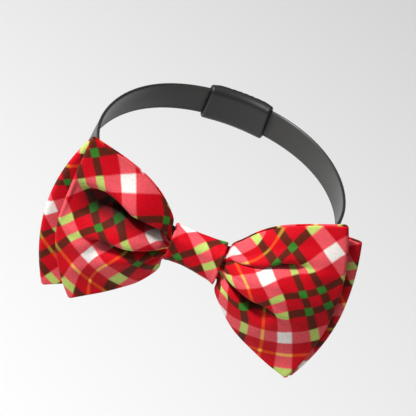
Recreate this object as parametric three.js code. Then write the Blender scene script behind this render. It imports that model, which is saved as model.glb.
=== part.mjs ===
// Pet bow tie on a neck strap. Millimetres, +Z up along the neck.
// The origin is the middle of the neck loop; the bow sits at the front, towards -Y.
import * as THREE from "three";

// ---- driving dimensions ----
const clothWall = 1.0; // doubled, interfaced cotton
const layerStep = 1.25; // from one cloth layer to the next where the knot pinches them
const gap = 0.3; // clear space between touching pieces

const strap = { halfX: 47, halfY: 50, width: 10.8, pinchedWidth: 8.2, thick: 1.2, steps: 72 };
const knot = { halfWidth: 9.2, heightLeft: 12.8, heightRight: 13.8, depth: 11.6, wall: 1.2, corner: 3.8, set: -1.7 };
const clasp = { halfAngle: 14, height: 15, depth: 5.4, wall: 1.5, corner: 1.9 };
const lean = THREE.MathUtils.degToRad(5); // the strap is a slight cone, and the bow leans back with it

// Half height of the bows where the knot pinches them, and how far out that pinch holds.
const pinch = { halfHeight: 3.8, reach: 9.4, fold: 0.2 };

// ---- bow outlines ----
// A row for each section of a wing, from the knot outwards: where the section crosses the middle,
// the top edge and the bottom edge (across is measured outwards, top and bottom are heights).
const wingOutlines = {
  frontRight: [
    { mid: 12.6, topAcross: 12.4, top: 12.4, bottomAcross: 12.4, bottom: -11.2 },
    { mid: 19.5, topAcross: 18.6, top: 19.0, bottomAcross: 18.6, bottom: -18.2 },
    { mid: 34, topAcross: 31, top: 26.9, bottomAcross: 31, bottom: -26.4 },
    { mid: 51.4, topAcross: 44.8, top: 31.4, bottomAcross: 43.8, bottom: -30.6 },
  ],
  frontLeft: [
    { mid: 12.6, topAcross: 12.4, top: 11.8, bottomAcross: 11.0, bottom: -9.6 },
    { mid: 19.5, topAcross: 19.2, top: 18.4, bottomAcross: 15.8, bottom: -17.0 },
    { mid: 33, topAcross: 33, top: 24.9, bottomAcross: 26, bottom: -25.4 },
    { mid: 47.7, topAcross: 47.2, top: 29.8, bottomAcross: 35.2, bottom: -31.0 },
  ],
  backRight: [
    { mid: 12.6, topAcross: 12.4, top: 11.6, bottomAcross: 12.4, bottom: -10.6 },
    { mid: 19.5, topAcross: 18.8, top: 18.0, bottomAcross: 18.8, bottom: -17.6 },
    { mid: 35, topAcross: 32, top: 25.6, bottomAcross: 32, bottom: -26.2 },
    { mid: 54.6, topAcross: 51, top: 26.4, bottomAcross: 46, bottom: -31.4 },
  ],
  backLeft: [
    { mid: 12.6, topAcross: 12.4, top: 11.0, bottomAcross: 11.6, bottom: -9.6 },
    { mid: 19.5, topAcross: 19, top: 17.4, bottomAcross: 17, bottom: -16.8 },
    { mid: 35, topAcross: 33, top: 23.8, bottomAcross: 30, bottom: -25.6 },
    { mid: 53.1, topAcross: 47.6, top: 27.4, bottomAcross: 45.4, bottom: -31.6 },
  ],
};

// ---- bow depths ----
// A row for each section, the first two under the knot: how far the front and back walls of the loop
// stand forward of the bow's middle plane, and how deep the folds are pressed into each.
const loopDepths = {
  front: [
    { front: 1.5 * layerStep, frontFold: pinch.fold, back: 0.5 * layerStep, backFold: pinch.fold },
    { front: 1.5 * layerStep, frontFold: pinch.fold, back: 0.5 * layerStep, backFold: pinch.fold },
    { front: 4.2, frontFold: 1.7, back: 0.9, backFold: 0.5 },
    { front: 6.8, frontFold: 3.2, back: 1.1, backFold: 0.6 },
    { front: 7.2, frontFold: 2.2, back: 1.6, backFold: 0.4 },
    { front: 5.0, frontFold: 0.2, back: 3.2, backFold: 0.1 },
  ],
  back: [
    { front: -0.5 * layerStep, frontFold: pinch.fold, back: -1.5 * layerStep, backFold: pinch.fold },
    { front: -0.5 * layerStep, frontFold: pinch.fold, back: -1.5 * layerStep, backFold: pinch.fold },
    { front: -0.9, frontFold: 0.4, back: -2.9, backFold: 0.4 },
    { front: -1.2, frontFold: 0.5, back: -4.4, backFold: 0.8 },
    { front: -0.9, frontFold: 0.4, back: -4.6, backFold: 0.8 },
    { front: 0.4, frontFold: 0.1, back: -1.4, backFold: 0.1 },
  ],
};

// Folds across a wing, from the bottom edge (-1) to the top edge (1): three lobes and two valleys.
const wingFolds = {
  right: [
    { at: -1, depth: -0.5 },
    { at: -0.72, depth: 0.4 },
    { at: -0.36, depth: -1.0 },
    { at: 0, depth: 0.9 },
    { at: 0.32, depth: -0.7 },
    { at: 0.64, depth: 0.6 },
    { at: 1, depth: -0.5 },
  ],
  left: [
    { at: -1, depth: -0.5 },
    { at: -0.68, depth: 0.5 },
    { at: -0.32, depth: -0.8 },
    { at: 0, depth: 0.8 },
    { at: 0.36, depth: -1.0 },
    { at: 0.7, depth: 0.6 },
    { at: 1, depth: -0.5 },
  ],
};

const wingStations = [0, 0.6, 1, 1.35, 1.7, 2, 2.5, 3, 3.5, 4, 4.5, 5];
const acrossSteps = 16;
const endTurn = [60, 0, -60]; // degrees round the loop's outer end

// ---- materials ----
const plaidCotton = new THREE.MeshStandardMaterial({ color: 0xd01428, roughness: 0.85, metalness: 0 });
const satinRibbon = new THREE.MeshStandardMaterial({ color: 0x35332f, roughness: 0.45, metalness: 0 });
const blackPlastic = new THREE.MeshStandardMaterial({ color: 0x1a1a1b, roughness: 0.5, metalness: 0 });

// ---- shared shapes ----

// A smooth value at u (a row number, fractions allowed) down one column of a table.
function column(rows, key, u) {
  const curve = new THREE.SplineCurve(rows.map((row, i) => new THREE.Vector2(i, row[key])));
  return curve.getPoint(u / (rows.length - 1)).y;
}

// A closed band of cloth: rows run round the loop, each a line of points across the band.
// The band is thickened by wall about those points.
function bandGeometry(rows, wall) {
  const round = rows.length;
  const across = rows[0].length;
  const positions = [];
  for (const side of [1, -1]) {
    rows.forEach((row, i) => {
      const before = rows[(i + round - 1) % round];
      const after = rows[(i + 1) % round];
      row.forEach((point, j) => {
        const along = after[j].clone().sub(before[j]);
        const over = row[Math.min(j + 1, across - 1)].clone().sub(row[Math.max(j - 1, 0)]);
        const normal = along.cross(over).normalize();
        positions.push(...point.clone().addScaledVector(normal, (side * wall) / 2).toArray());
      });
    });
  }
  const indices = [];
  const quad = (a, b, c, d) => indices.push(a, b, c, a, c, d);
  const inner = round * across;
  for (let i = 0; i < round; i++) {
    const here = i * across;
    const next = ((i + 1) % round) * across;
    for (let j = 0; j + 1 < across; j++) {
      quad(here + j, next + j, next + j + 1, here + j + 1);
      quad(inner + here + j, inner + here + j + 1, inner + next + j + 1, inner + next + j);
    }
    const last = across - 1;
    quad(here, inner + here, inner + next, next);
    quad(here + last, next + last, inner + next + last, inner + here + last);
  }
  const geometry = new THREE.BufferGeometry();
  geometry.setAttribute("position", new THREE.Float32BufferAttribute(positions, 3));
  geometry.setIndex(indices);
  geometry.computeVertexNormals();
  return geometry;
}

// ---- bows ----

// One section of a wing wall, bottom edge to top edge. hand is 1 on the right and -1 on the left.
// reachOut moves the section outwards, which rounds the loop's end.
function wingSection(outline, folds, hand, u, depth, fold, reachOut = 0) {
  const foldDepth = (f) => {
    const line = new THREE.SplineCurve(folds.map((row) => new THREE.Vector2(row.at, row.depth)));
    const place = folds.findIndex((row, i) => i > 0 && f <= row.at + 1e-9);
    const [a, b] = [folds[place - 1].at, folds[place].at];
    return line.getPoint((place - 1 + (f - a) / (b - a)) / (folds.length - 1)).y;
  };
  const rows = [
    { mid: 0, topAcross: 0, top: pinch.halfHeight, bottomAcross: 0, bottom: -pinch.halfHeight },
    {
      mid: pinch.reach,
      topAcross: pinch.reach,
      top: pinch.halfHeight,
      bottomAcross: pinch.reach,
      bottom: -pinch.halfHeight,
    },
    ...outline,
  ];
  const at = (key) => column(rows, key, u);
  const points = [];
  for (let j = 0; j <= acrossSteps; j++) {
    const f = (2 * j) / acrossSteps - 1;
    const edge = f > 0 ? at("topAcross") : at("bottomAcross");
    const x = at("mid") + (edge - at("mid")) * f * f + reachOut;
    const z = f > 0 ? f * at("top") : -f * at("bottom");
    points.push(new THREE.Vector3(hand * x, -(depth + fold * foldDepth(f)), z));
  }
  return points;
}

// A whole loop: front wall from the knot to the right end, back wall right to left, front wall home.
function bowRows(outlines, depths) {
  const wing = (outline, folds, hand) => {
    const wall = (side) =>
      wingStations.map((u) =>
        wingSection(outline, folds, hand, u, column(depths, side, u), column(depths, side + "Fold", u)),
      );
    const end = depths[depths.length - 1];
    const middle = (end.front + end.back) / 2;
    const radius = (end.front - end.back) / 2;
    const turn = endTurn.map((degrees) => {
      const angle = THREE.MathUtils.degToRad(degrees);
      const depth = middle + radius * Math.sin(angle);
      return wingSection(outline, folds, hand, 5, depth, end.backFold, radius * Math.cos(angle));
    });
    return [...wall("front"), ...turn, ...wall("back").reverse()];
  };
  const right = wing(outlines.right, wingFolds.right, 1);
  const left = wing(outlines.left, wingFolds.left, -1).reverse();
  return [...right, ...left.slice(1, -1)];
}

// ---- knot, strap and clasp ----

// Points round a rounded rectangle, anticlockwise seen with +x right and +y up.
function roundedLoop(width, height, radius, cornerSteps, sideSteps) {
  const points = [];
  const corners = [
    { x: 1, y: 1, from: 0 },
    { x: -1, y: 1, from: 90 },
    { x: -1, y: -1, from: 180 },
    { x: 1, y: -1, from: 270 },
  ];
  corners.forEach((corner, i) => {
    const centre = (c) => new THREE.Vector2((c.x * width) / 2 - c.x * radius, (c.y * height) / 2 - c.y * radius);
    const onCorner = (c, k) => {
      const angle = THREE.MathUtils.degToRad(c.from + (90 * k) / cornerSteps);
      return centre(c).add(new THREE.Vector2(Math.cos(angle), Math.sin(angle)).multiplyScalar(radius));
    };
    for (let k = 0; k <= cornerSteps; k++) points.push(onCorner(corner, k));
    const end = onCorner(corner, cornerSteps);
    const start = onCorner(corners[(i + 1) % 4], 0);
    for (let k = 1; k < sideSteps; k++) points.push(end.clone().lerp(start, k / sideSteps));
  });
  return points;
}

// The knot's band goes round the bows and the strap; its ends stand a little proud of its waist.
function knotRows() {
  const stations = [-1, -0.6, 0, 0.6, 1];
  const shape = (height) => roundedLoop(knot.depth - knot.wall, height - knot.wall, knot.corner, 5, 3);
  const low = shape(knot.heightLeft);
  const high = shape(knot.heightRight);
  return low.map((point, i) =>
    stations.map((side) => {
      const section = point.clone().lerp(high[i], (side + 1) / 2);
      return new THREE.Vector3(side * knot.halfWidth, -(section.x + knot.set), section.y);
    }),
  );
}

// A point of the neck loop at an angle from the front, and its outward direction.
function loopFrame(degrees) {
  const angle = THREE.MathUtils.degToRad(degrees);
  const point = new THREE.Vector3(strap.halfX * Math.sin(angle), -strap.halfY * Math.cos(angle), 0);
  const outward = new THREE.Vector3(Math.sin(angle) / strap.halfX, -Math.cos(angle) / strap.halfY, 0);
  outward.normalize();
  const up = new THREE.Vector3(0, 0, Math.cos(lean)).addScaledVector(outward, -Math.sin(lean));
  return { point, outward: up.clone().cross(new THREE.Vector3().crossVectors(outward, up)), up };
}

// The knot squeezes the ribbon; beside it the strap spreads back to its full width.
function strapWidthAt(point) {
  const spread = THREE.MathUtils.smoothstep(Math.abs(point.x), knot.halfWidth, 1.8 * knot.halfWidth);
  return point.y > 0 ? strap.width : THREE.MathUtils.lerp(strap.pinchedWidth, strap.width, spread);
}

function strapRows() {
  return Array.from({ length: strap.steps }, (_, i) => {
    const { point, up } = loopFrame((360 * i) / strap.steps);
    return [-0.5, 0.5].map((k) => point.clone().addScaledVector(up, k * strapWidthAt(point)));
  });
}

// The clasp is a closed sleeve that follows the strap's curve across the nape.
function claspRows() {
  const stations = [-1, -0.5, 0, 0.5, 1];
  const section = roundedLoop(clasp.depth - clasp.wall, clasp.height - clasp.wall, clasp.corner, 3, 2);
  return section.map((point) =>
    stations.map((k) => {
      const frame = loopFrame(180 + k * clasp.halfAngle);
      return frame.point
        .clone()
        .addScaledVector(frame.outward, point.x)
        .addScaledVector(frame.up, point.y);
    }),
  );
}

// ---- assembly ----
function piece(name, rows, wall, material) {
  const mesh = new THREE.Mesh(bandGeometry(rows, wall), material);
  mesh.name = name;
  return mesh;
}

const collar = new THREE.Group();

// The bow's middle plane stands in front of the strap by half the pinched stack.
const stackBack = 1.5 * layerStep + clothWall / 2 + pinch.fold + gap;
const bow = new THREE.Group();
bow.position.set(0, -(strap.halfY + strap.thick / 2 + stackBack), 0);
bow.rotation.x = -lean;
bow.add(
  piece(
    "front_bow",
    bowRows({ right: wingOutlines.frontRight, left: wingOutlines.frontLeft }, loopDepths.front),
    clothWall,
    plaidCotton,
  ),
  piece(
    "back_bow",
    bowRows({ right: wingOutlines.backRight, left: wingOutlines.backLeft }, loopDepths.back),
    clothWall,
    plaidCotton,
  ),
  piece("knot_wrap", knotRows(), knot.wall, plaidCotton),
);
collar.add(bow);
collar.add(piece("neck_strap", strapRows(), strap.thick, satinRibbon));
collar.add(piece("strap_clasp", claspRows(), clasp.wall, blackPlastic));

export default collar;
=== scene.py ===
import math

import bpy
import numpy as np
from mathutils import Matrix, Vector, noise


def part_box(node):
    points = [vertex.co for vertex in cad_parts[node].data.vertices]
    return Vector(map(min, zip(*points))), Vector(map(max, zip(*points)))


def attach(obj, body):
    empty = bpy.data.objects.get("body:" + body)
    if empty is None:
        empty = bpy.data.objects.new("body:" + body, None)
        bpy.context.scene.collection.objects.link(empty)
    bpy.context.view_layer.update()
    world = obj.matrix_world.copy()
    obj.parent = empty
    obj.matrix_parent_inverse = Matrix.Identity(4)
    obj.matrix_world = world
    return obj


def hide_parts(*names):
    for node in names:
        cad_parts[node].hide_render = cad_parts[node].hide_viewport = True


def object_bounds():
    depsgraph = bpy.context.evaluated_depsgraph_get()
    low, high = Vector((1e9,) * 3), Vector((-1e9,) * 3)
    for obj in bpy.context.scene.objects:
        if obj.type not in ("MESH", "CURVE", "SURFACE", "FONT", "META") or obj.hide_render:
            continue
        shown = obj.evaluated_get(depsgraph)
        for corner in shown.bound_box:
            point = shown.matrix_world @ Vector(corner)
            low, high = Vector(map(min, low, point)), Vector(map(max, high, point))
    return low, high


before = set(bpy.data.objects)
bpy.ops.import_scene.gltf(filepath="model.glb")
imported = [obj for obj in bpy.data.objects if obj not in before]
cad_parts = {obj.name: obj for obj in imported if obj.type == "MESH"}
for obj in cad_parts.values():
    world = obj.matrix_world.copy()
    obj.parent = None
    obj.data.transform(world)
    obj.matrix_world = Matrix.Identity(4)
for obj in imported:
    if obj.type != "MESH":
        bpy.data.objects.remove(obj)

mm = 0.001
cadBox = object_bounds()
print("frame loaded:", len(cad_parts), "CAD nodes")


def boxOf(node):
    low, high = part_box(node)
    return np.array(low), np.array(high)


strapLow, strapHigh = boxOf("neck_strap")
knotLow, knotHigh = boxOf("knot_wrap")

cameraSetup = {
    "azimuth": -3,  # degrees round the neck, from straight in front
    "elevation": 32,
    "roll": 22.0,  # the neck leans over to the left
    "distance": 1.2,
    "lens": 292,
    "sensor": 36,
    "clip": (0.05, 20),
    "aim": (0, -0.019, -0.002),
}


def addCamera(c):
    az, el = math.radians(c["azimuth"]), math.radians(c["elevation"])
    away = Vector((math.sin(az) * math.cos(el), -math.cos(az) * math.cos(el), math.sin(el)))
    data = bpy.data.cameras.new("camera")
    data.lens = c["lens"]
    data.sensor_width = c["sensor"]
    data.clip_start, data.clip_end = c["clip"]
    camera = bpy.data.objects.new("camera", data)
    aim = Vector(c["aim"])
    turn = away.to_track_quat("Z", "Y").to_matrix().to_4x4()
    roll = Matrix.Rotation(math.radians(c["roll"]), 4, "Z")
    camera.matrix_world = Matrix.Translation(aim + away * c["distance"]) @ turn @ roll
    bpy.context.collection.objects.link(camera)
    bpy.context.scene.camera = camera


addCamera(cameraSetup)


def newMaterial(name):
    material = bpy.data.materials.new(name)
    material.use_nodes = True
    nodes, links = material.node_tree.nodes, material.node_tree.links
    nodes.clear()
    output = nodes.new("ShaderNodeOutputMaterial")
    shader = nodes.new("ShaderNodeBsdfPrincipled")
    links.new(shader.outputs["BSDF"], output.inputs["Surface"])
    return material, nodes, links, shader


def srgb(r, g, b):
    def linear(c):
        c /= 255
        return c / 12.92 if c <= 0.04045 else ((c + 0.055) / 1.055) ** 2.4

    return (linear(r), linear(g), linear(b), 1)


def mathNode(nodes, links, operation, *inputs, clamp=False):
    node = nodes.new("ShaderNodeMath")
    node.operation = operation
    node.use_clamp = clamp
    for socket, value in zip(node.inputs, inputs):
        if isinstance(value, (int, float)):
            socket.default_value = value
        else:
            links.new(value, socket)
    return node.outputs[0]


def mixColour(nodes, links, factor, a, b):
    node = nodes.new("ShaderNodeMix")
    node.data_type = "RGBA"
    for name, value in (("Factor", factor), ("A", a), ("B", b)):
        socket = next(s for s in node.inputs if s.name == name and s.enabled)
        if isinstance(value, (int, float, tuple)):
            socket.default_value = value
        else:
            links.new(value, socket)
    return next(s for s in node.outputs if s.enabled)


def newGroup(name, inputs, outputs):
    group = bpy.data.node_groups.new(name, "ShaderNodeTree")
    for label, kind, value in inputs:
        socket = group.interface.new_socket(name=label, in_out="INPUT", socket_type=kind)
        if value is not None:
            socket.default_value = value
    for label, kind in outputs:
        group.interface.new_socket(name=label, in_out="OUTPUT", socket_type=kind)
    source = group.nodes.new("NodeGroupInput")
    sink = group.nodes.new("NodeGroupOutput")
    return group, group.nodes, group.links, source, sink


def placeGroup(nodes, group, values=None):
    node = nodes.new("ShaderNodeGroup")
    node.node_tree = group
    for name, value in (values or {}).items():
        node.inputs[name].default_value = value
    return node


def addNoise(nodes, links, vector, scale, detail):
    noiseNode = nodes.new("ShaderNodeTexNoise")
    noiseNode.inputs["Scale"].default_value = scale
    noiseNode.inputs["Detail"].default_value = detail
    links.new(vector, noiseNode.inputs["Vector"])
    return noiseNode


def addBump(nodes, links, shader, height, strength, distance):
    bump = nodes.new("ShaderNodeBump")
    bump.inputs["Strength"].default_value = strength
    bump.inputs["Distance"].default_value = distance * mm
    links.new(height, bump.inputs["Height"])
    links.new(bump.outputs["Normal"], shader.inputs["Normal"])


# A piece's place on its own cloth, in millimetres; its UV map holds metres.
def clothPlace(nodes, links):
    uv = nodes.new("ShaderNodeUVMap")
    uv.uv_map = "cloth"
    inMm = nodes.new("ShaderNodeMapping")
    inMm.inputs["Scale"].default_value = (1 / mm, 1 / mm, 1 / mm)
    links.new(uv.outputs["UV"], inMm.inputs["Vector"])
    return inMm.outputs["Vector"]


def darkened(nodes, links, colour, factor):
    shade = nodes.new("ShaderNodeVectorMath")
    shade.operation = "SCALE"
    if isinstance(colour, tuple):
        shade.inputs[0].default_value = colour
    else:
        links.new(colour, shade.inputs[0])
    links.new(factor, shade.inputs["Scale"])
    return shade.outputs[0]


# One repeat of the plaid, in millimetres from the middle of the green pair.
plaidSett = {
    "repeat": 49.0,
    "edge": 0.35,  # how soft a stripe's edge is
    "stripes": [
        {"colour": "White", "at": -12.75, "wide": 4.8},
        {"colour": "Green", "at": -3.25, "wide": 2.6},
        {"colour": "Green", "at": 3.25, "wide": 2.6},
        {"colour": "White", "at": 12.75, "wide": 4.8},
        {"colour": "Green", "at": 22.25, "wide": 2.6},
        {"colour": "Yellow", "at": -20.25, "wide": 1.1},
    ],
}
# What the eye sees where a warp colour crosses a weft colour.
crossings = {
    ("Red", "Red"): srgb(196, 0, 22),
    ("Red", "White"): srgb(226, 82, 90),
    ("Red", "Green"): srgb(92, 30, 16),
    ("Red", "Yellow"): srgb(224, 70, 22),
    ("White", "White"): srgb(238, 232, 226),
    ("White", "Green"): srgb(182, 202, 104),
    ("White", "Yellow"): srgb(244, 178, 86),
    ("Green", "Green"): srgb(52, 122, 38),
    ("Green", "Yellow"): srgb(168, 128, 40),
    ("Yellow", "Yellow"): srgb(252, 200, 70),
}
threadColours = ["Red", "White", "Green", "Yellow"]


def stripeGroup(sett):
    group, nodes, links, source, sink = newGroup(
        "sett stripes",
        [("Position", "NodeSocketFloat", 0.0)],
        [(c, "NodeSocketFloat") for c in threadColours[1:]],
    )
    half = sett["repeat"] / 2
    place = mathNode(nodes, links, "WRAP", source.outputs["Position"], half, -half)
    masks = {}
    for stripe in sett["stripes"]:
        away = mathNode(nodes, links, "SUBTRACT", place, stripe["at"])
        away = mathNode(nodes, links, "ABSOLUTE", away)
        ramp = nodes.new("ShaderNodeMapRange")
        ramp.interpolation_type = "SMOOTHSTEP"
        links.new(away, ramp.inputs["Value"])
        ramp.inputs["From Min"].default_value = stripe["wide"] / 2 + sett["edge"]
        ramp.inputs["From Max"].default_value = stripe["wide"] / 2 - sett["edge"]
        mask = ramp.outputs["Result"]
        before = masks.get(stripe["colour"])
        masks[stripe["colour"]] = mask if before is None else mathNode(nodes, links, "MAXIMUM", before, mask)
    for colour, mask in masks.items():
        links.new(mask, sink.inputs[colour])
    return group


# Plain weave: height of the threads, and a mask of where the warp lies on top.
def weaveGroup():
    group, nodes, links, source, sink = newGroup(
        "plain weave",
        [
            ("Vector", "NodeSocketVector", None),
            ("Threads per mm", "NodeSocketFloat", 2.6),
        ],
        [("Height", "NodeSocketFloat"), ("Warp on top", "NodeSocketFloat")],
    )
    split = nodes.new("ShaderNodeSeparateXYZ")
    links.new(source.outputs["Vector"], split.inputs[0])
    waves = []
    for axis in ("X", "Y"):
        turn = mathNode(nodes, links, "MULTIPLY", split.outputs[axis], source.outputs["Threads per mm"])
        turn = mathNode(nodes, links, "MULTIPLY", turn, math.pi)
        waves.append(mathNode(nodes, links, "SINE", turn))
    product = mathNode(nodes, links, "MULTIPLY", waves[0], waves[1])
    top = mathNode(nodes, links, "MULTIPLY_ADD", product, 2.5, 0.5, clamp=True)  # a crisp over and under
    ridge = [mathNode(nodes, links, "ABSOLUTE", w) for w in waves]
    height = nodes.new("ShaderNodeMix")
    height.data_type = "FLOAT"
    for name, value in (("Factor", top), ("A", ridge[0]), ("B", ridge[1])):
        links.new(value, next(s for s in height.inputs if s.name == name and s.enabled))
    links.new(next(s for s in height.outputs if s.enabled), sink.inputs["Height"])
    links.new(top, sink.inputs["Warp on top"])
    return group


# Fine grain on Object coordinates, for moulded plastic and for spun thread.
def grainGroup():
    group, nodes, links, source, sink = newGroup(
        "fine grain",
        [
            ("Vector", "NodeSocketVector", None),
            ("Scale", "NodeSocketFloat", 1800.0),
            ("Detail", "NodeSocketFloat", 3.0),
        ],
        [("Grain", "NodeSocketFloat")],
    )
    specks = nodes.new("ShaderNodeTexNoise")
    for name in ("Vector", "Scale", "Detail"):
        links.new(source.outputs[name], specks.inputs[name])
    links.new(specks.outputs["Fac"], sink.inputs["Grain"])
    return group


sharedGroups = {"stripes": stripeGroup(plaidSett), "weave": weaveGroup(), "grain": grainGroup()}


def addGrain(nodes, links, scale, detail):
    place = nodes.new("ShaderNodeTexCoord")
    grain = placeGroup(nodes, sharedGroups["grain"], {"Scale": scale, "Detail": detail})
    links.new(place.outputs["Object"], grain.inputs["Vector"])
    return grain.outputs["Grain"]


plaidFinish = {
    "roughness": 0.62,
    "sheen": 0.03,
    "sheenRoughness": 0.4,
    "specular": 0.1,
    "threads": 2.4,  # to the millimetre
    "threadTone": (0.18, 0.87),  # how much a thread's crown lightens, and the tone between threads
    "bump": (0.5, 0.12),  # strength, and height in millimetres
    "wobble": {"scale": 0.22, "detail": 2, "by": 0.5},  # the lines never run quite straight
    "slub": {"scale": 1.4, "detail": 3, "from": (0.3, 0.7), "tone": (0.86, 1.06)},
    "paintedFoldDark": 0.85,  # painted shade: how much darker the cloth's colour is painted deep in a fold
}


def plaidMaterial(name, f):
    material, nodes, links, shader = newMaterial(name)
    place = clothPlace(nodes, links)
    wobble = addNoise(nodes, links, place, f["wobble"]["scale"], f["wobble"]["detail"])
    shift = nodes.new("ShaderNodeVectorMath")
    shift.operation = "MULTIPLY_ADD"
    links.new(wobble.outputs["Color"], shift.inputs[0])
    shift.inputs[1].default_value = (f["wobble"]["by"], f["wobble"]["by"], 0)
    links.new(place, shift.inputs[2])
    split = nodes.new("ShaderNodeSeparateXYZ")
    links.new(shift.outputs[0], split.inputs[0])
    masks = []
    for axis in ("X", "Y"):
        stripes = placeGroup(nodes, sharedGroups["stripes"])
        links.new(split.outputs[axis], stripes.inputs["Position"])
        masks.append(stripes.outputs)
    warp, weft = masks
    rows = []
    for across in threadColours:
        colour = crossings[("Red", across)]
        for along in threadColours[1:]:
            pair = (along, across) if (along, across) in crossings else (across, along)
            colour = mixColour(nodes, links, warp[along], colour, crossings[pair])
        rows.append(colour)
    cloth = rows[0]
    for across, row in zip(threadColours[1:], rows[1:]):
        cloth = mixColour(nodes, links, weft[across], cloth, row)
    weave = placeGroup(nodes, sharedGroups["weave"], {"Threads per mm": f["threads"]})
    links.new(place, weave.inputs["Vector"])
    # slubs and a slightly uneven dye
    slub = addNoise(nodes, links, place, f["slub"]["scale"], f["slub"]["detail"])
    dye = nodes.new("ShaderNodeMapRange")
    links.new(slub.outputs["Fac"], dye.inputs["Value"])
    dye.inputs["From Min"].default_value, dye.inputs["From Max"].default_value = f["slub"]["from"]
    dye.inputs["To Min"].default_value, dye.inputs["To Max"].default_value = f["slub"]["tone"]
    thread = mathNode(nodes, links, "MULTIPLY_ADD", weave.outputs["Height"], *f["threadTone"])
    tone = mathNode(nodes, links, "MULTIPLY", dye.outputs["Result"], thread)
    # painted shade: the cloth's colour is darkened deep in its folds, where shade falls
    paintedShadeAttribute = nodes.new("ShaderNodeAttribute")
    paintedShadeAttribute.attribute_name = "paintedFoldShade"
    fold = mathNode(nodes, links, "MULTIPLY_ADD", paintedShadeAttribute.outputs["Fac"], -f["paintedFoldDark"], 1)
    tone = mathNode(nodes, links, "MULTIPLY", tone, fold)
    links.new(darkened(nodes, links, cloth, tone), shader.inputs["Base Color"])
    shader.inputs["Roughness"].default_value = f["roughness"]
    shader.inputs["Sheen Weight"].default_value = f["sheen"]
    shader.inputs["Sheen Roughness"].default_value = f["sheenRoughness"]
    shader.inputs["Specular IOR Level"].default_value = f["specular"]
    addBump(nodes, links, shader, weave.outputs["Height"], *f["bump"])
    return material


plaidCotton = plaidMaterial("plaid cotton", plaidFinish)

satinFinish = {
    "colour": srgb(33, 32, 30),
    "sheen": 0.1,
    "sheenRoughness": 0.3,
    "specular": 0.5,
    "ribs": 4.0,  # to the millimetre, along the ribbon's width
    # the satin's long streaks: how the noise is drawn out, and the tone and roughness it gives
    "streak": {"drawn": (0.15, 6, 1), "detail": 4, "tone": (0.5, 0.75), "roughness": (0.2, 0.28)},
    "bump": (0.065, 0.06),
}


def satinMaterial(f):
    material, nodes, links, shader = newMaterial("satin ribbon")
    place = clothPlace(nodes, links)
    split = nodes.new("ShaderNodeSeparateXYZ")
    links.new(place, split.inputs[0])
    rib = mathNode(nodes, links, "MULTIPLY", split.outputs["Y"], f["ribs"] * math.tau)
    rib = mathNode(nodes, links, "SINE", rib)
    stretch = nodes.new("ShaderNodeMapping")
    stretch.inputs["Scale"].default_value = f["streak"]["drawn"]
    links.new(place, stretch.inputs["Vector"])
    streak = addNoise(nodes, links, stretch.outputs["Vector"], 1, f["streak"]["detail"]).outputs["Fac"]
    tone = mathNode(nodes, links, "MULTIPLY_ADD", streak, *f["streak"]["tone"])
    links.new(darkened(nodes, links, f["colour"][:3], tone), shader.inputs["Base Color"])
    gloss = mathNode(nodes, links, "MULTIPLY_ADD", streak, *f["streak"]["roughness"])
    links.new(gloss, shader.inputs["Roughness"])
    shader.inputs["Sheen Weight"].default_value = f["sheen"]
    shader.inputs["Sheen Roughness"].default_value = f["sheenRoughness"]
    shader.inputs["Specular IOR Level"].default_value = f["specular"]
    addBump(nodes, links, shader, rib, *f["bump"])
    return material


satinRibbon = satinMaterial(satinFinish)

plasticFinish = {
    "colour": srgb(24, 24, 25),
    "grain": (1800, 3),  # scale and detail
    "roughness": (0.2, 0.35),
    "bump": (0.3, 0.05),
}


def plasticMaterial(f):
    material, nodes, links, shader = newMaterial("black moulded plastic")
    grain = addGrain(nodes, links, *f["grain"])
    shader.inputs["Base Color"].default_value = f["colour"]
    gloss = mathNode(nodes, links, "MULTIPLY_ADD", grain, *f["roughness"])
    links.new(gloss, shader.inputs["Roughness"])
    addBump(nodes, links, shader, grain, *f["bump"])
    return material


blackPlastic = plasticMaterial(plasticFinish)
print("materials built")


# One column of a table of sections, read on a smooth curve through its rows.
def column(rows, key, u):
    values = np.array([row[key] for row in rows], float)
    u = np.clip(np.asarray(u, float), 0, len(values) - 1)
    i = np.minimum(u.astype(int), len(values) - 2)
    t = u - i
    at = lambda k: values[np.clip(i + k, 0, len(values) - 1)]
    a, b, c, d = at(-1), at(0), at(1), at(2)
    a = np.where(i == 0, 2 * b - c, a)
    d = np.where(i == len(values) - 2, 2 * c - b, d)
    return 0.5 * (2 * b + (c - a) * t + (2 * a - 5 * b + 4 * c - d) * t**2 + (3 * b - a - 3 * c + d) * t**3)


def smooth(edge0, edge1, x):
    t = np.clip((np.asarray(x, float) - edge0) / (edge1 - edge0), 0, 1)
    return t * t * (3 - 2 * t)
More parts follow.
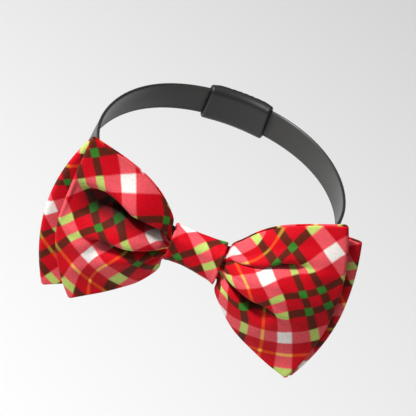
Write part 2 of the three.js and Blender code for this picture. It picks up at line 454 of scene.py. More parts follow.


# A closed band of cloth from a grid of points in metres, round the loop and across the band.
# cloth holds each point's place on the flat cut, with one more row to close the loop; the last argument,
# where given, holds painted shade for each point, from 0 to 1, darkest deep in a fold. The band's edges are
# rounded in rim steps.
def bandMesh(name, points, cloth, wall, rim=3, paintedFoldShade=None):
    around, across = points.shape[:2]
    paintedFoldShade = np.zeros((around, across)) if paintedFoldShade is None else paintedFoldShade
    along = np.roll(points, -1, 0) - np.roll(points, 1, 0)
    over = np.gradient(points, axis=1)
    normal = np.cross(along, over)
    normal /= np.linalg.norm(normal, axis=2, keepdims=True) + 1e-12
    edgeOut = over / (np.linalg.norm(over, axis=2, keepdims=True) + 1e-12)
    rounding = [math.pi * k / (rim + 1) for k in range(1, rim + 1)]
    outside = [(k, 0) for k in range(across)] + [(across - 1, a) for a in rounding]
    inside = [(k, math.pi) for k in reversed(range(across))] + [(0, math.pi + a) for a in rounding]
    columns = [k for k, _ in outside + inside]
    angle = np.array([a for _, a in outside + inside])[None, :, None]
    away = normal[:, columns] * np.cos(angle) + edgeOut[:, columns] * np.sin(angle)
    section = points[:, columns] + away * wall / 2
    place = cloth[:, columns]
    total = len(columns)
    i, j = np.meshgrid(np.arange(around), np.arange(total), indexing="ij")
    iNext, jNext = (i + 1) % around, (j + 1) % total
    corners = [i * total + j, iNext * total + j, iNext * total + jNext, i * total + jNext]
    faces = np.stack(corners, -1).reshape(-1, 4)
    mesh = bpy.data.meshes.new(name)
    mesh.from_pydata(section.reshape(-1, 3).tolist(), [], faces.tolist())
    uv = np.stack([place[i, j], place[i + 1, j], place[i + 1, jNext], place[i, jNext]], -2).reshape(-1, 2)
    layer = mesh.uv_layers.new(name="cloth")
    layer.data.foreach_set("uv", uv.astype(np.float32).ravel())
    # painted shade deep in the folds, which the plaid material turns into darker colour
    paintedShadeAttribute = mesh.attributes.new("paintedFoldShade", "FLOAT", "POINT")
    paintedShadeAttribute.data.foreach_set("value", paintedFoldShade[:, columns].astype(np.float32).ravel())
    mesh.polygons.foreach_set("use_smooth", np.ones(len(faces), bool))
    mesh.update()
    thing = bpy.data.objects.new(name, mesh)
    bpy.context.collection.objects.link(thing)
    return thing


bowPlace = {
    "lean": 5,  # degrees back from upright
    "stackBack": 2.875,  # the bow's middle plane, in front of the strap's face
}
lean = math.radians(bowPlace["lean"])
bowCentre = np.array([0, strapLow[1] - bowPlace["stackBack"] * mm, 0])
bowCentre[1] += 0.5 * (strapHigh[2] - strapLow[2]) * math.sin(lean)  # the strap's cone widens downwards


def toRow(across, depth, up):
    y, z = -depth, up
    return np.stack(
        [
            across * mm,
            bowCentre[1] + (y * math.cos(lean) + z * math.sin(lean)) * mm,
            (-y * math.sin(lean) + z * math.cos(lean)) * mm,
        ],
        -1,
    )


clothHalf = 31.0  # half the width of the bow's strip

knotPinch = {"half": 4.4, "reach": 9.4, "mostHidden": 22}

# Sections of each wing from the knot out: across in the middle and at the edges, and the edges' heights.
wingOutlines = {
    "frontRight": [
        {"mid": 13.2, "topAcross": 10.9, "top": 9.2, "bottomAcross": 10.9, "bottom": -8.9},
        {"mid": 17.2, "topAcross": 13.4, "top": 12.2, "bottomAcross": 12.9, "bottom": -11.8},
        {"mid": 25.3, "topAcross": 18.6, "top": 18.2, "bottomAcross": 19.2, "bottom": -18.5},
        {"mid": 32.7, "topAcross": 25.4, "top": 23.4, "bottomAcross": 25.6, "bottom": -23.0},
        {"mid": 43.6, "topAcross": 36.0, "top": 28.7, "bottomAcross": 36.4, "bottom": -28.0},
        {"mid": 50.8, "topAcross": 44.0, "top": 32.4, "bottomAcross": 44.6, "bottom": -30.4},
    ],
    "frontLeft": [
        {"mid": 13.1, "topAcross": 11.4, "top": 9.9, "bottomAcross": 10.2, "bottom": -8.5},
        {"mid": 17.1, "topAcross": 14.0, "top": 13.5, "bottomAcross": 11.9, "bottom": -12.0},
        {"mid": 23.0, "topAcross": 18.9, "top": 18.3, "bottomAcross": 15.5, "bottom": -16.7},
        {"mid": 28.9, "topAcross": 25.3, "top": 22.6, "bottomAcross": 19.6, "bottom": -20.2},
        {"mid": 36.8, "topAcross": 34.3, "top": 26.7, "bottomAcross": 25.8, "bottom": -24.8},
        {"mid": 47.6, "topAcross": 46.4, "top": 30.4, "bottomAcross": 35.0, "bottom": -30.4},
    ],
    "backRight": [
        {"mid": 13.2, "topAcross": 11.2, "top": 6.8, "bottomAcross": 11.2, "bottom": -8.0},
        {"mid": 17.4, "topAcross": 13.6, "top": 9.6, "bottomAcross": 13.6, "bottom": -11.4},
        {"mid": 26, "topAcross": 20, "top": 16.2, "bottomAcross": 20.4, "bottom": -18.2},
        {"mid": 34, "topAcross": 27.6, "top": 21.2, "bottomAcross": 27.4, "bottom": -22.8},
        {"mid": 45, "topAcross": 39.5, "top": 25.2, "bottomAcross": 37.6, "bottom": -27.8},
        {"mid": 54.2, "topAcross": 51.0, "top": 26.2, "bottomAcross": 46.4, "bottom": -31.6},
    ],
    "backLeft": [
        {"mid": 13.2, "topAcross": 11.4, "top": 7.4, "bottomAcross": 10.8, "bottom": -7.4},
        {"mid": 17.4, "topAcross": 13.8, "top": 10.6, "bottomAcross": 13.0, "bottom": -11.2},
        {"mid": 26, "topAcross": 20.6, "top": 16.2, "bottomAcross": 20.0, "bottom": -18.0},
        {"mid": 34, "topAcross": 28, "top": 20.6, "bottomAcross": 27.2, "bottom": -22.8},
        {"mid": 44, "topAcross": 38, "top": 24.0, "bottomAcross": 37, "bottom": -28.0},
        {"mid": 53.2, "topAcross": 47.2, "top": 26.8, "bottomAcross": 45.4, "bottom": -31.6},
    ],
}
# How far each wall stands forward of the bow's middle plane, the same sections with two for the pinch,
# and how much further back its top and bottom edges lie.
wallDepths = {
    "front": [
        {"front": 1.9, "frontCrown": 0.0, "back": 0.65, "backCrown": 0.0},
        {"front": 1.9, "frontCrown": 0.2, "back": 0.65, "backCrown": 0.0},
        {"front": 5.8, "frontCrown": 3.9, "back": 0.6, "backCrown": -0.2},
        {"front": 9.0, "frontCrown": 6.8, "back": 0.4, "backCrown": -0.5},
        {"front": 11.0, "frontCrown": 8.4, "back": 0.3, "backCrown": -0.7},
        {"front": 11.0, "frontCrown": 8.0, "back": 0.5, "backCrown": -0.9},
        {"front": 8.6, "frontCrown": 5.2, "back": 1.6, "backCrown": -0.8},
        {"front": 5.2, "frontCrown": 0.3, "back": 3.3, "backCrown": 0.0},
    ],
    "back": [
        {"front": -0.65, "frontCrown": 0.0, "back": -1.9, "backCrown": 0.0},
        {"front": -0.65, "frontCrown": 0.0, "back": -1.9, "backCrown": 0.0},
        {"front": -0.9, "frontCrown": 0.1, "back": -2.8, "backCrown": -0.4},
        {"front": -1.1, "frontCrown": 0.2, "back": -3.8, "backCrown": -1.0},
        {"front": -1.3, "frontCrown": 0.3, "back": -5.0, "backCrown": -1.6},
        {"front": -1.2, "frontCrown": 0.3, "back": -5.2, "backCrown": -1.8},
        {"front": -0.6, "frontCrown": 0.2, "back": -4.0, "backCrown": -1.4},
        {"front": 0.4, "frontCrown": 0.0, "back": -1.2, "backCrown": 0.0},
    ],
}
# Folds run out from the knot along the cloth. at: where they lie across it at the knot and at the outer end.
# part: how much of the gathered cloth they take up. fade: how far out they begin and finish to fade.
wingFolds = {
    "right": [
        {"at": (15.5, 14), "wide": (3.4, 4.5), "deep": 8, "part": 0.42, "lean": 0.4, "fade": (0.38, 0.8)},
        {"at": (-9.5, -12), "wide": (3.2, 8), "deep": 11.5, "part": 0.46, "lean": 0.6, "fade": (0.26, 0.6)},
        {"at": (24, 23), "wide": (1.8, 1.8), "deep": 0.8, "part": 0.03, "lean": 0, "fade": (0.1, 0.4)},
        {"at": (-24, -24), "wide": (2, 2), "deep": 0.7, "part": 0.03, "lean": 0, "fade": (0.1, 0.35)},
        {"at": (2, 0), "wide": (2, 2), "deep": 0.8, "part": 0.03, "lean": 0, "fade": (0.08, 0.4)},
    ],
    "left": [
        {"at": (16.5, 9), "wide": (3.8, 11), "deep": 10.5, "part": 0.56, "lean": 0.5, "fade": (0.5, 0.98)},
        {"at": (-9.5, -10.5), "wide": (2.6, 6.5), "deep": 10, "part": 0.4, "lean": 0.45, "fade": (0.34, 0.7)},
        {"at": (24, 23), "wide": (1.8, 1.8), "deep": 0.7, "part": 0.03, "lean": 0, "fade": (0.1, 0.4)},
        {"at": (-22, -22), "wide": (2.2, 2.2), "deep": 0.8, "part": 0.03, "lean": 0, "fade": (0.1, 0.4)},
        {"at": (0.5, 0.5), "wide": (2, 2), "deep": 0.6, "part": 0.03, "lean": 0, "fade": (0.08, 0.4)},
    ],
}
# What all folds share: how sharp their near side is, the part of the gathers that lasts to the outer end,
# how deep they are at the pinch, how soon out they reach their full depth, and between which sink depths the
# painted shade in them comes in.
foldShape = {"sharp": 1.6, "lasting": 0.35, "atPinch": 0.2, "full": 0.14, "paintedShadeFrom": (0.8, 6.0)}
# How the plaid lies on each wing: where the middle of its green pair is, along the cloth from the knot and
# across it, how far the bias turns it, and how far the cloth is drawn out along and across.
plaidPlaces = {
    "frontRight": {
        "origin": (46, 3),
        "turn": 35,
        "stretch": (0.95, 0.9),
        "pulls": [
            {"at": (22, -21), "by": (0.6, 4.2), "reach": 6},
            {"at": (37, 1), "by": (0.6, -2.4), "reach": 9},
            {"at": (19, 5), "by": (1.2, -2.5), "reach": 6},
            {"at": (24, 31), "by": (-2.5, 3), "reach": 8},
        ],
    },
    "frontLeft": {
        "origin": (37.5, 5),
        "turn": 40,
        "stretch": (0.9, 0.85),
        "pulls": [
            {"at": (38, 1), "by": (0, 2.4), "reach": 7},
            {"at": (31, -14), "by": (0.4, 4.4), "reach": 5},
            {"at": (38, -28), "by": (3, -3.4), "reach": 9},
            {"at": (17, 29), "by": (-4, -3.6), "reach": 9},
        ],
    },
    "backRight": {"origin": (23, -2), "turn": 35, "stretch": (1, 1), "pulls": []},
    "backLeft": {"origin": (34.5, -3), "turn": 35, "stretch": (1, 1), "pulls": []},
}


# Turns a place on the cloth's strip into a place on the plaid.
def onPlaid(along, across, place, hand=1):
    x, y = along, across
    for pull in place["pulls"]:
        away = (along - hand * pull["at"][0]) ** 2 + (across - pull["at"][1]) ** 2
        near = np.exp(-away / pull["reach"] ** 2)
        x = x + pull["by"][0] * near
        y = y + pull["by"][1] * near
    x = (x - hand * place["origin"][0]) * place["stretch"][0]
    y = (y - place["origin"][1]) * place["stretch"][1]
    turn = math.radians(place["turn"])
    cos, sin = math.cos(turn), math.sin(turn)
    return np.stack([x * cos + y * sin, y * cos - x * sin], -1) * mm


# Soft creases along the gathers, and a finer unevenness over all. They begin at the knot, lose a part of
# their depth towards the outer end, and show less on a wall without folds.
creases = [
    {"along": 0.035, "across": 0.22, "deep": 0.55, "seed": 3.0},
    {"along": 0.11, "across": 0.2, "deep": 0.3, "seed": 11.0},
]
creaseFade = {"begin": (0, 0.1), "end": (0.75, 1), "lost": 0.6, "onFlat": 0.35}
wingMesh = {"along": 64, "across": 104, "turn": 7, "wall": 0.7, "clothReach": 43.0}


def creaseDepth(along, across, fade):
    total = np.zeros(along.shape)
    for row in creases:
        flat = [
            noise.noise(Vector((a * row["along"], b * row["across"], row["seed"])))
            for a, b in zip(along.ravel(), across.ravel())
        ]
        total += row["deep"] * np.array(flat).reshape(along.shape)
    return total * fade


# Eases a wall to a stop short of the one behind it.
def wallGap(gap, least=1.1, ease=0.5):
    return least + ease * np.logaddexp(0, (gap - least) / ease)


# One wall of a wing as across, depth, up and the painted shade deep in its folds, from the knot (0) to the
# outer end (1), bottom edge to top.
def wingWall(hand, outline, depths, folds, side, foldStrength, out, extra=0.0):
    pinchRows = [
        {"mid": m, "topAcross": m, "top": knotPinch["half"], "bottomAcross": m, "bottom": -knotPinch["half"]}
        for m in (0, knotPinch["reach"])
    ]
    rows = pinchRows + outline
    u = out * (len(rows) - 1)
    b = np.linspace(-clothHalf, clothHalf, wingMesh["across"])[None, :]
    at = lambda key: column(rows, key, u)[:, None]
    mid, top, bottom = at("mid"), at("top"), at("bottom")
    gathered = np.clip(2 * clothHalf - (top - bottom), 0, knotPinch["mostHidden"])
    reach = np.clip((mid - knotPinch["reach"]) / wingMesh["clothReach"], 0, 1)
    rise = foldShape["atPinch"] + (1 - foldShape["atPinch"]) * smooth(0, foldShape["full"], reach)
    climb = b + 0 * mid  # how far across the cloth each point is, less what the folds swallow
    sink = 0 * climb
    for fold in folds:
        away = b - fold["at"][0] - (fold["at"][1] - fold["at"][0]) * reach
        here = away / np.where(away > 0, *fold["wide"])
        fade = 1 - smooth(*fold["fade"], reach)
        step = 0.5 * np.tanh(foldShape["sharp"] * (away / fold["wide"][0] - fold["lean"]))
        lasting = foldShape["lasting"] + (1 - foldShape["lasting"]) * fade
        climb = climb - fold["part"] * gathered * step * lasting
        sink = sink + fold["deep"] * rise * fade * np.exp(-(here**2))
    low, high = climb[:, :1], climb[:, -1:]
    up = bottom + (climb - low) / (high - low) * (top - bottom)
    f = np.where(up > 0, up / top, -up / bottom)
    edge = np.where(f > 0, at("topAcross"), at("bottomAcross"))
    across = mid + (edge - mid) * f**2 + extra
    depth = column(depths, side, u)[:, None] - column(depths, side + "Crown", u)[:, None] * f**2
    lost = creaseFade["lost"] * smooth(*creaseFade["end"], reach)
    soften = smooth(*creaseFade["begin"], reach) * (1 - lost)
    creased = creaseDepth(hand * mid + 0 * b, b + 0 * mid, soften)
    depth = depth + creased * (creaseFade["onFlat"] + (1 - creaseFade["onFlat"]) * foldStrength)
    depth = depth - foldStrength * sink
    if side == "front":
        floor = column(depths, "back", u)[:, None] - column(depths, "backCrown", u)[:, None] * f**2
        depth = floor + wallGap(depth - floor)
    # painted shade: how dark the colour is painted, rising as the fold sinks deeper
    return across, depth, up, foldStrength * smooth(*foldShape["paintedShadeFrom"], sink)


# How far along the strip each step out from the knot lies.
def wingRun(name, out):
    rows = [0, knotPinch["reach"]] + [row["mid"] for row in wingOutlines[name]]
    mid = column([{"mid": m} for m in rows], "mid", out * (len(rows) - 1))
    return mid * (wingMesh["clothReach"] + knotPinch["reach"]) / rows[-1]


def bowLoop(name, right, left, depths, foldStrength):
    out = np.linspace(0, 1, wingMesh["along"])
    turns = np.radians(np.linspace(90, -90, wingMesh["turn"] + 2)[1:-1])
    strip = np.linspace(-clothHalf, clothHalf, wingMesh["across"])
    grids, cloths, paintedFoldShades = [], [], []
    for hand, wing, folds in ((1, right, wingFolds["right"]), (-1, left, wingFolds["left"])):
        outline = wingOutlines[wing]
        front = wingWall(hand, outline, depths, folds, "front", foldStrength[0], out)
        back = wingWall(hand, outline, depths, folds, "back", foldStrength[1], out)
        end = depths[-1]
        middle, radius = (end["front"] + end["back"]) / 2, (end["front"] - end["back"]) / 2
        one = np.ones(1)
        rounds = []
        for angle in turns:
            a, d, z, h = wingWall(hand, outline, depths, folds, "front", 0, one, radius * math.cos(angle))
            rounds.append((a, 0 * d + middle + radius * math.sin(angle), z, h))
        parts = [front, *rounds, tuple(x[::-1] for x in back)]
        across, depth, up, paintedFoldShade = (np.concatenate([p[k] for p in parts]) for k in range(4))
        run = wingRun(wing, out)
        over = run[-1] + radius * (math.pi / 2 - turns)
        run = np.concatenate([run, over, 2 * run[-1] + radius * math.pi - run[::-1]])
        along = hand * run[:, None] + 0 * strip[None, :]
        cloth = onPlaid(along, strip[None, :] + 0 * along, plaidPlaces[wing], hand)
        grid = toRow(hand * across, depth, up)
        if hand < 0:
            grid, cloth, paintedFoldShade = grid[::-1], cloth[::-1], paintedFoldShade[::-1]
        grids.append(grid)
        cloths.append(cloth)
        paintedFoldShades.append(paintedFoldShade)
    # the left wing joins the right at the pinch: drop its doubled rows
    points = np.concatenate([grids[0], grids[1][1:-1]])
    cloth = np.concatenate([cloths[0], cloths[1][1:-1], cloths[0][:1]])
    paintedFoldShade = np.concatenate([paintedFoldShades[0], paintedFoldShades[1][1:-1]])
    return bandMesh(name, points, cloth, wingMesh["wall"] * mm, paintedFoldShade=paintedFoldShade)


frontBow = bowLoop("frontBow", "frontRight", "frontLeft", wallDepths["front"], (1.0, 0.1))
backBow = bowLoop("backBow", "backRight", "backLeft", wallDepths["back"], (0.08, 0.2))
for thing, node in ((frontBow, "front_bow"), (backBow, "back_bow")):
    thing.data.materials.append(plaidCotton)
    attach(thing, "root")
    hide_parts(node)
print("bows built")


# Points round a rounded rectangle (wide x tall), from the middle of its right side anticlockwise.
def roundedLoop(wide, tall, radius, count):
    flatWide, flatTall = wide - 2 * radius, tall - 2 * radius
    straight = [flatTall / 2, flatWide, flatTall, flatWide, flatTall / 2]
    arc = math.pi * radius / 2
    runs, total = [], 0.0
    for k, length in enumerate(straight):
        runs.append((total, length, k))
        total += length + (arc if k < 4 else 0)
    out = []
    for s in np.arange(count) / count * total:
        k = max(i for i, run in enumerate(runs) if s >= run[0] - 1e-12)
        start, length, _ = runs[k]
        corner = [(1, 1), (-1, 1), (-1, -1), (1, -1)]
        hx, hz = wide / 2 - radius, tall / 2 - radius
        if s - start <= length:
            d = s - start
            x, z = [
                (wide / 2, d),
                (hx - d, tall / 2),
                (-wide / 2, hz - d),
                (-hx + d, -tall / 2),
                (wide / 2, -hz + d),
            ][k]
        else:
            angle = math.pi / 2 * k + (s - start - length) / radius
            x = corner[k][0] * hx + radius * math.cos(angle)
            z = corner[k][1] * hz + radius * math.sin(angle)
        out.append((x, z))
    return np.array(out), total


knotShape = {
    "tallLeft": 12.6,
    "tallRight": 15.0,
    "liftLeft": 0.8,
    "liftRight": -0.7,
    "deep": 10.8,
    "corner": 3.6,
    "wall": 0.9,
    "set": -1.5,  # its middle, behind the bow's middle plane
    "waist": 0.5,  # how far the middle is drawn in
    "belly": 0.5,  # how far the front swells
    "widens": 1.7,  # how late across it the right side's height comes in
    "crease": {"slant": 0.8, "across": 0.22, "round": 0.05, "deep": 0.45, "seed": 7.0},
    "roll": {"from": 0.86, "high": 0.25},  # the raised edges
    "behind": 0.3,  # how much of the creases and rolled edges shows at the back
    "around": 120,
    "across": 44,
    "plaid": {"origin": (-5.5, -6.5), "turn": 45, "stretch": (1, 1), "pulls": []},
}


def buildKnot(k):
    half = (knotHigh[0] - knotLow[0]) / 2 / mm
    side = np.linspace(-1, 1, k["across"])
    low, length = roundedLoop(k["deep"] - k["wall"], k["tallLeft"] - k["wall"], k["corner"], k["around"])
    high, _ = roundedLoop(k["deep"] - k["wall"], k["tallRight"] - k["wall"], k["corner"], k["around"])
    mix = (((side + 1) / 2) ** k["widens"])[None, :, None]
    section = low[:, None, :] * (1 - mix) + high[:, None, :] * mix
    waist = k["waist"] * (1 - side**2)[None, :]
    reach = np.linalg.norm(section, axis=2)
    section = section * (1 - waist / reach)[..., None]
    front = smooth(0, k["deep"] / 2, section[..., 0])
    around = np.arange(k["around"]) / k["around"] * length
    around = np.where(around > length / 2, around - length, around)[:, None] + 0 * side[None, :]
    across = half * side[None, :] + 0 * around
    swell = k["belly"] * front * (1 - (section[..., 1] / (k["tallRight"] / 2)) ** 2)
    c = k["crease"]
    flat = [
        noise.noise(Vector(((a + b) * c["across"], (a - b) * c["round"], c["seed"])))
        for a, b in zip(across.ravel(), c["slant"] * around.ravel())
    ]
    crease = np.array(flat).reshape(across.shape)
    roll = k["roll"]["high"] * smooth(k["roll"]["from"], 1, np.abs(side))[None, :]
    push = (c["deep"] * crease + roll) * (k["behind"] + (1 - k["behind"]) * front)
    section = section * (1 + push / reach)[..., None]
    lift = k["liftLeft"] + (k["liftRight"] - k["liftLeft"]) * mix[0, :, 0]
    points = toRow(across, section[..., 0] + swell + k["set"], section[..., 1] + lift[None, :])
    cloth = onPlaid(np.concatenate([across, across[:1]]), np.concatenate([around, around[:1]]), k["plaid"])
    return bandMesh("knotWrap", points, cloth, k["wall"] * mm, rim=4), length


knotWrap, knotLength = buildKnot(knotShape)
knotWrap.data.materials.append(plaidCotton)
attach(knotWrap, "root")
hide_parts("knot_wrap")
print("knot built")

strapShape = {
    "wide": 10.8,
    "pinchedWide": 8.2,
    "thick": 1.0,
    "cadThick": 1.2,
    "steps": 360,
    "across": 13,
    "ripple": {"high": 0.22, "waves": 5, "twist": 1.3, "begin": (0.25, 0.6)},
    "spread": 1.8,  # full width this far out, in halves of the knot's width
}
coneSpread = 0.5 * strapShape["wide"] * math.sin(lean) * mm
strapHalf = (strapHigh - strapLow) / 2 - coneSpread - strapShape["cadThick"] / 2 * mm


# A place on the neck loop at an angle from the front: its middle, outward direction and up direction.
def loopFrame(angle):
    point = np.array([strapHalf[0] * math.sin(angle), -strapHalf[1] * math.cos(angle), 0])
    outward = np.array([math.sin(angle) / strapHalf[0], -math.cos(angle) / strapHalf[1], 0])
    outward /= np.linalg.norm(outward)
    up = np.array([0, 0, math.cos(lean)]) - outward * math.sin(lean)
    return point, outward * math.cos(lean) + np.array([0, 0, math.sin(lean)]), up


def strapWidth(point):
    half = (knotHigh[0] - knotLow[0]) / 2
    full = strapShape["spread"] * half
    spread = float(smooth(half, full, abs(point[0]))) if point[1] < 0 else 1.0
    return strapShape["pinchedWide"] + (strapShape["wide"] - strapShape["pinchedWide"]) * spread


# A point on the ribbon at an angle round it, from its lower edge (-1) to its upper edge (1).
def strapEdge(angle, side, lift=0.0):
    point, outward, up = loopFrame(angle)
    fromKnot = min(angle, math.tau - angle)
    ripple = strapShape["ripple"]
    wave = ripple["high"] * math.sin(ripple["waves"] * angle + ripple["twist"] * side)
    wave *= smooth(*ripple["begin"], fromKnot)
    return point + up * side * strapWidth(point) / 2 * mm + outward * (wave * side + lift) * mm


def buildStrap(s):
    side = np.linspace(-1, 1, s["across"])
    points = np.array(
        [[strapEdge(math.tau * i / s["steps"], k) for k in side] for i in range(s["steps"])]
    )
    middle = points[:, s["across"] // 2]
    run = np.concatenate([[0], np.cumsum(np.linalg.norm(np.roll(middle, -1, 0) - middle, axis=1))])
    cloth = np.stack(
        [run[:, None] + 0 * side[None, :], side[None, :] * s["wide"] / 2 * mm + 0 * run[:, None]], -1
    )
    return bandMesh("neckStrap", points, cloth, s["thick"] * mm), run[-1]


neckStrap, strapLength = buildStrap(strapShape)
neckStrap.data.materials.append(satinRibbon)
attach(neckStrap, "root")
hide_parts("neck_strap")
print("strap built, round the loop (mm):", round(strapLength / mm, 1))

claspShape = {
    "halfAngle": 14,
    "tall": 15,
    "deep": 5.4,
    "wall": 1.5,
    "corner": 1.9,
    "around": 72,
    "along": 49,
    "grips": 5,
    "gripDeep": 0.22,
    "gripReach": 0.5,
    "nose": {"from": 0.75, "in": 0.5, "low": 0.03},  # how its two ends narrow
}


def buildClasp(c):
    section, length = roundedLoop(c["deep"] - c["wall"], c["tall"] - c["wall"], c["corner"], c["around"])
    rows = []
    for x, z in section:
        row = []
        for k in np.linspace(-1, 1, c["along"]):
            point, outward, up = loopFrame(math.pi + math.radians(k * c["halfAngle"]))
            wave = 0.5 + 0.5 * math.cos(k * math.pi * (2 * c["grips"]))
            grip = c["gripDeep"] * wave * (abs(k) < c["gripReach"])
            nose = c["nose"]["in"] * smooth(c["nose"]["from"], 1, abs(k))
            outside = smooth(0, 1, x)
            out = x - outside * (grip + nose)
            row.append(point + (outward * out + up * z * (1 - c["nose"]["low"] * nose)) * mm)
        rows.append(row)
    points = np.array(rows)
    run = np.arange(c["around"] + 1) / c["around"] * length * mm
    run = np.repeat(run[:, None], c["along"], 1)
    cloth = np.stack([run, run], -1)
    return bandMesh("strapClasp", points, cloth, c["wall"] * mm, rim=6)


strapClasp = buildClasp(claspShape)
strapClasp.data.materials.append(blackPlastic)
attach(strapClasp, "root")
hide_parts("strap_clasp")
print("clasp built")

threadFinish = {
    "ribbon": srgb(58, 57, 54),
    "plaid": srgb(176, 16, 30),
    "dark": 0.6,
    "roughness": 0.5,
    "grain": (2600, 2),
    "bump": (0.4, 0.05),
}


def threadMaterial(name, colour, f):
    material, nodes, links, shader = newMaterial(name)
    twist = addGrain(nodes, links, *f["grain"])
    dark = tuple(c * f["dark"] for c in colour[:3]) + (1,)
    links.new(mixColour(nodes, links, twist, dark, colour), shader.inputs["Base Color"])
    shader.inputs["Roughness"].default_value = f["roughness"]
    addBump(nodes, links, shader, twist, *f["bump"])
    return material


# Geometry Nodes trees: both take a mesh of edges as the path.
def pathTree(name, inputs):
    tree = bpy.data.node_groups.new(name, "GeometryNodeTree")
    tree.interface.new_socket(name="Geometry", in_out="INPUT", socket_type="NodeSocketGeometry")
    for label, kind in inputs:
        tree.interface.new_socket(name=label, in_out="INPUT", socket_type=kind)
    tree.interface.new_socket(name="Geometry", in_out="OUTPUT", socket_type="NodeSocketGeometry")
    source = tree.nodes.new("NodeGroupInput")
    sink = tree.nodes.new("NodeGroupOutput")
    curve = tree.nodes.new("GeometryNodeMeshToCurve")
    tree.links.new(source.outputs["Geometry"], curve.inputs["Mesh"])
    return tree, source, sink, curve.outputs["Curve"]


def finishTree(tree, source, sink, shape):
    real = tree.nodes.new("GeometryNodeRealizeInstances")
    smoothed = tree.nodes.new("GeometryNodeSetShadeSmooth")
    paint = tree.nodes.new("GeometryNodeSetMaterial")
    tree.links.new(shape, real.inputs["Geometry"])
    tree.links.new(real.outputs["Geometry"], smoothed.inputs["Geometry"])
    tree.links.new(smoothed.outputs["Geometry"], paint.inputs["Geometry"])
    tree.links.new(source.outputs["Material"], paint.inputs["Material"])
    tree.links.new(paint.outputs["Geometry"], sink.inputs["Geometry"])
    return tree


def stitchTree():
    tree, source, sink, curve = pathTree(
        "stitches",
        [
            ("Spacing", "NodeSocketFloat"),
            ("Stitch Length", "NodeSocketFloat"),
            ("Thread Radius", "NodeSocketFloat"),
            ("Seed", "NodeSocketInt"),
            ("Material", "NodeSocketMaterial"),
        ],
    )
    nodes, links = tree.nodes, tree.links
    spaced = nodes.new("GeometryNodeResampleCurve")
    spaced.mode = "LENGTH"
    links.new(curve, spaced.inputs["Curve"])
    links.new(source.outputs["Spacing"], spaced.inputs["Length"])
    bead = nodes.new("GeometryNodeMeshUVSphere")
    bead.inputs["Segments"].default_value = 8
    bead.inputs["Rings"].default_value = 6
    bead.inputs["Radius"].default_value = 1
    half = mathNode(nodes, links, "MULTIPLY", source.outputs["Stitch Length"], 0.5)
    size = nodes.new("ShaderNodeCombineXYZ")
    for axis in ("X", "Y"):
        links.new(source.outputs["Thread Radius"], size.inputs[axis])
    links.new(half, size.inputs["Z"])
    uneven = nodes.new("FunctionNodeRandomValue")
    uneven.data_type = "FLOAT"
    low, high = [i for i in uneven.inputs if i.enabled and i.name in ("Min", "Max")]
    low.default_value, high.default_value = 0.88, 1.08  # no two stitches are quite alike
    links.new(source.outputs["Seed"], uneven.inputs["Seed"])
    sized = nodes.new("ShaderNodeVectorMath")
    sized.operation = "SCALE"
    links.new(size.outputs[0], sized.inputs[0])
    links.new(next(o for o in uneven.outputs if o.enabled), sized.inputs["Scale"])
    tangent = nodes.new("GeometryNodeInputTangent")
    facing = nodes.new("FunctionNodeAlignRotationToVector")
    facing.axis = "Z"
    links.new(tangent.outputs["Tangent"], facing.inputs["Vector"])
    placed = nodes.new("GeometryNodeInstanceOnPoints")
    links.new(spaced.outputs["Curve"], placed.inputs["Points"])
    links.new(bead.outputs["Mesh"], placed.inputs["Instance"])
    links.new(facing.outputs["Rotation"], placed.inputs["Rotation"])
    links.new(sized.outputs[0], placed.inputs["Scale"])
    return finishTree(tree, source, sink, placed.outputs["Instances"])


def cordTree():
    tree, source, sink, curve = pathTree(
        "edge cord", [("Radius", "NodeSocketFloat"), ("Material", "NodeSocketMaterial")]
    )
    nodes, links = tree.nodes, tree.links
    ring = nodes.new("GeometryNodeCurvePrimitiveCircle")
    ring.inputs["Resolution"].default_value = 8
    links.new(source.outputs["Radius"], ring.inputs["Radius"])
    swept = nodes.new("GeometryNodeCurveToMesh")
    links.new(curve, swept.inputs["Curve"])
    links.new(ring.outputs["Curve"], swept.inputs["Profile Curve"])
    return finishTree(tree, source, sink, swept.outputs["Mesh"])


# Runs a tree along some paths and leaves a plain mesh riding on the part.
def alongPaths(name, paths, closed, tree, values):
    points, edges = [], []
    for path in paths:
        start = len(points)
        points += [tuple(p) for p in path]
        edges += [(start + i, start + i + 1) for i in range(len(path) - 1)]
        if closed:
            edges.append((start + len(path) - 1, start))
    mesh = bpy.data.meshes.new(name + " path")
    mesh.from_pydata(points, edges, [])
    guide = bpy.data.objects.new(name + " path", mesh)
    bpy.context.collection.objects.link(guide)
    modifier = guide.modifiers.new("tree", "NODES")
    modifier.node_group = tree
    for item in tree.interface.items_tree:
        if item.in_out == "INPUT" and item.name in values:
            modifier[item.identifier] = values[item.name]
    made = bpy.data.meshes.new_from_object(guide.evaluated_get(bpy.context.evaluated_depsgraph_get()))
    guide.modifiers.remove(modifier)
    bpy.data.objects.remove(guide)
    made.name = name
    piece = bpy.data.objects.new(name, made)
    bpy.context.collection.objects.link(piece)
    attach(piece, "root")
    return piece


sewing = {
    "ribbonRows": (19, 21.5),  # degrees from the back of the loop, either side of the clasp
    "ribbonSpacing": 1.5,
    "ribbonStitch": 1.1,
    "seamRows": (1.0, -1.0),
    "seamProud": 0.05,
    "seamSpacing": 2.1,
    "seamStitch": 1.5,
    "thread": 0.17,
    "cordProud": 0.08,  # how far the selvedge's cord stands past the ribbon's faces
    "cordAt": 0.97,
    "reach": 0.86,  # the part of the width that a row of stitches covers
}


def ribbonRow(angle):
    lift = strapShape["thick"] / 2 + 0.5 * sewing["thread"]
    return [strapEdge(angle, side, lift) for side in np.linspace(-sewing["reach"], sewing["reach"], 14)]


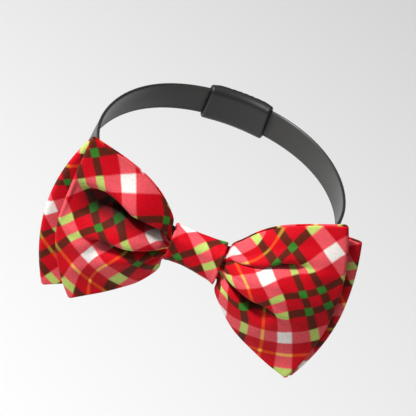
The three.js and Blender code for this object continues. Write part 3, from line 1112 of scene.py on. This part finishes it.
def knotSeam(k):
    half = (knotHigh[0] - knotLow[0]) / 2 / mm
    back = np.full(16, k["set"] - k["deep"] / 2 + k["waist"] - sewing["seamProud"])
    across = np.linspace(-sewing["reach"], sewing["reach"], 16) * half
    return [toRow(across, back, np.full(16, at)) for at in sewing["seamRows"]]


def threadValues(spacing, length, seed, material):
    return {
        "Spacing": sewing[spacing] * mm,
        "Stitch Length": sewing[length] * mm,
        "Thread Radius": sewing["thread"] * mm,
        "Seed": seed,
        "Material": material,
    }


stitches, edgeCord = stitchTree(), cordTree()
ribbonThread = threadMaterial("ribbon thread", threadFinish["ribbon"], threadFinish)
plaidThread = threadMaterial("plaid thread", threadFinish["plaid"], threadFinish)
rowAngles = [math.pi + side * math.radians(at) for side in (-1, 1) for at in sewing["ribbonRows"]]
ribbonValues = threadValues("ribbonSpacing", "ribbonStitch", 4, ribbonThread)
ribbonRows = [ribbonRow(angle) for angle in rowAngles]
strapStitches = alongPaths("strapStitches", ribbonRows, False, stitches, ribbonValues)
seamValues = threadValues("seamSpacing", "seamStitch", 9, plaidThread)
knotStitches = alongPaths("knotStitches", knotSeam(knotShape), False, stitches, seamValues)
loopAngles = np.arange(strapShape["steps"]) / strapShape["steps"] * math.tau
strapSelvedges = alongPaths(
    "strapSelvedges",
    [[strapEdge(angle, side * sewing["cordAt"]) for angle in loopAngles] for side in (-1, 1)],
    True,
    edgeCord,
    {"Radius": (strapShape["thick"] / 2 + sewing["cordProud"]) * mm, "Material": ribbonThread},
)
print("stitches and selvedges made")

stageSetup = {"floorDrop": 0.16, "floorSize": 6.0, "floorTone": 0.72, "floorRoughness": 0.8}


def addFloor(s):
    bpy.ops.mesh.primitive_plane_add(size=s["floorSize"], location=(0, 0, cadBox[0][2] - s["floorDrop"]))
    floor = bpy.context.object
    floor.name = "floor"
    material, nodes, links, shader = newMaterial("pale floor")
    shader.inputs["Base Color"].default_value = (s["floorTone"],) * 3 + (1,)
    shader.inputs["Roughness"].default_value = s["floorRoughness"]
    floor.data.materials.append(material)


lightSetup = [
    {"name": "key", "place": (-0.68, -0.34, 1.04), "size": 0.16, "power": 28},
    {"name": "fill", "place": (0.5, -0.9, 0.6), "size": 0.9, "power": 0.4},
    {"name": "top", "place": (0.1, 0.45, 1.2), "size": 0.9, "power": 1.2},
]


def addLights(rows, aim):
    for row in rows:
        data = bpy.data.lights.new(row["name"], "AREA")
        data.size = row["size"]
        data.energy = row["power"]
        light = bpy.data.objects.new(row["name"], data)
        place = Vector(row["place"])
        turn = (place - aim).to_track_quat("Z", "Y").to_matrix().to_4x4()
        light.matrix_world = Matrix.Translation(place) @ turn
        bpy.context.collection.objects.link(light)


# The sky's strength on the part, and as the eye sees it behind the floor.
skySetup = {"lights": 0.2, "seen": 0.7}


def addSky(s):
    world = bpy.data.worlds.new("studio")
    world.use_nodes = True
    nodes, links = world.node_tree.nodes, world.node_tree.links
    background = nodes["Background"]
    background.inputs["Color"].default_value = (1, 1, 1, 1)
    seen = nodes.new("ShaderNodeLightPath").outputs["Is Camera Ray"]
    strength = mathNode(nodes, links, "MULTIPLY_ADD", seen, s["seen"] - s["lights"], s["lights"])
    links.new(strength, background.inputs["Strength"])
    bpy.context.scene.world = world


bpy.context.scene.view_settings.view_transform = "Standard"
addFloor(stageSetup)
addLights(lightSetup, Vector((0, -0.04, 0)))  # they face the bow
addSky(skySetup)
print("floor, lights and sky set")
